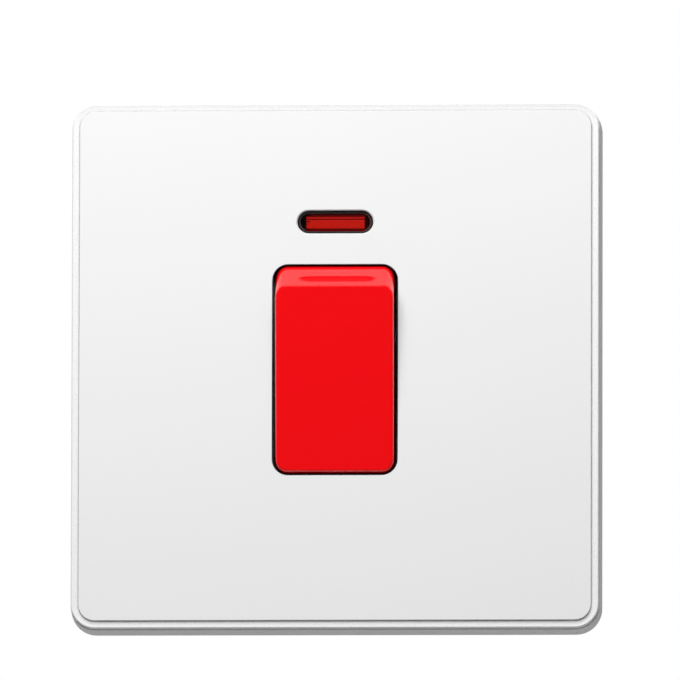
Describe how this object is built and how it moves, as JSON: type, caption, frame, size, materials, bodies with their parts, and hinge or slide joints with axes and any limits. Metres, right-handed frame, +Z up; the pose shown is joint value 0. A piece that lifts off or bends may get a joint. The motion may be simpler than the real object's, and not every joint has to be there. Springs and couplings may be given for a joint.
{
  "type": "cooker switch",
  "caption": "Square white screwless wall switch for a cooker, with a tall red rocker, a red neon indicator above it and a double-pole switch box with cable terminals behind.",
  "frame": {"origin": "half-way between the two fixing holes, on the wall's plane behind the mounting frame", "axes": "+X to the right seen from the front, +Y into the wall, +Z up"},
  "size_m": [0.086, 0.039, 0.086],
  "materials": {
    "plate_white": "gloss white moulded plastic",
    "frame_white": "satin white moulded plastic",
    "rocker_red": "gloss red moulded plastic",
    "lens_red": "clear deep red moulded plastic",
    "housing_white": "matt white moulded plastic",
    "base_white": "matt white moulded plastic",
    "plunger_nylon": "natural nylon",
    "spring_steel": "spring steel wire",
    "contact_copper": "rolled copper strip",
    "tip_silver": "silver contact rivet",
    "bar_brass": "stamped brass",
    "terminal_brass": "machined brass",
    "screw_brass": "turned brass",
    "screw_zinc": "bright zinc plate",
    "lamp_glass": "clear glass bulb",
    "resistor_tan": "lacquered body",
    "lead_tinned": "tinned wire"
  },
  "bodies": {
    "base": {"assembly_screws": "screw_zinc", "earth_screw": "screw_brass", "earth_terminal": "terminal_brass", "fixed_tip_left": "tip_silver", "fixed_tip_right": "tip_silver", "front_plate": "plate_white", "load_bar_left": "bar_brass", "load_bar_right": "bar_brass", "load_terminal_left": "terminal_brass", "load_terminal_right": "terminal_brass", "mechanism_housing": "housing_white", "mounting_frame": "frame_white", "neon_lamp": "lamp_glass", "neon_leads": "lead_tinned", "neon_lens": "lens_red", "neon_resistor": "resistor_tan", "supply_bar_left": "bar_brass", "supply_bar_right": "bar_brass", "supply_terminal_left": "terminal_brass", "supply_terminal_right": "terminal_brass", "terminal_base": "base_white", "terminal_screws": "screw_brass"},
    "rocker": {"rocker": "rocker_red", "plunger_spring_left": "spring_steel", "plunger_spring_right": "spring_steel"},
    "plunger_left": {"plunger_left": "plunger_nylon"},
    "plunger_right": {"plunger_right": "plunger_nylon"},
    "moving_contact_left": {"moving_contact_left": "contact_copper", "moving_tip_left": "tip_silver"},
    "moving_contact_right": {"moving_contact_right": "contact_copper", "moving_tip_right": "tip_silver"}
  },
  "joints": [
    {"name": "rocker_hinge", "type": "hinge", "parent": "base", "child": "rocker", "pos_m": [0, 0.0039, -0.00075], "axis": [1, 0, 0], "range_deg": [-12.5, 0]},
    {"name": "plunger_left_slide", "type": "slide", "parent": "rocker", "child": "plunger_left", "axis": [0, 0.9941, 0.1089], "range_m": [-0.0015, 0], "stiffness_N_per_m": 800, "springref_m": 0.004, "deforming": ["plunger_spring_left"]},
    {"name": "plunger_right_slide", "type": "slide", "parent": "rocker", "child": "plunger_right", "axis": [0, 0.9941, 0.1089], "range_m": [-0.0015, 0], "stiffness_N_per_m": 800, "springref_m": 0.004, "deforming": ["plunger_spring_right"]},
    {"name": "moving_contact_left_hinge", "type": "hinge", "parent": "base", "child": "moving_contact_left", "pos_m": [-0.0055, 0.0147, -0.00075], "axis": [1, 0, 0], "range_deg": [0, 12.5]},
    {"name": "moving_contact_right_hinge", "type": "hinge", "parent": "base", "child": "moving_contact_right", "pos_m": [0.0055, 0.0147, -0.00075], "axis": [1, 0, 0], "range_deg": [0, 12.5]}
  ],
  "couplings": [
    {"joint": "moving_contact_left_hinge", "follows": "rocker_hinge", "ratio": -1},
    {"joint": "moving_contact_right_hinge", "follows": "rocker_hinge", "ratio": -1}
  ]
}
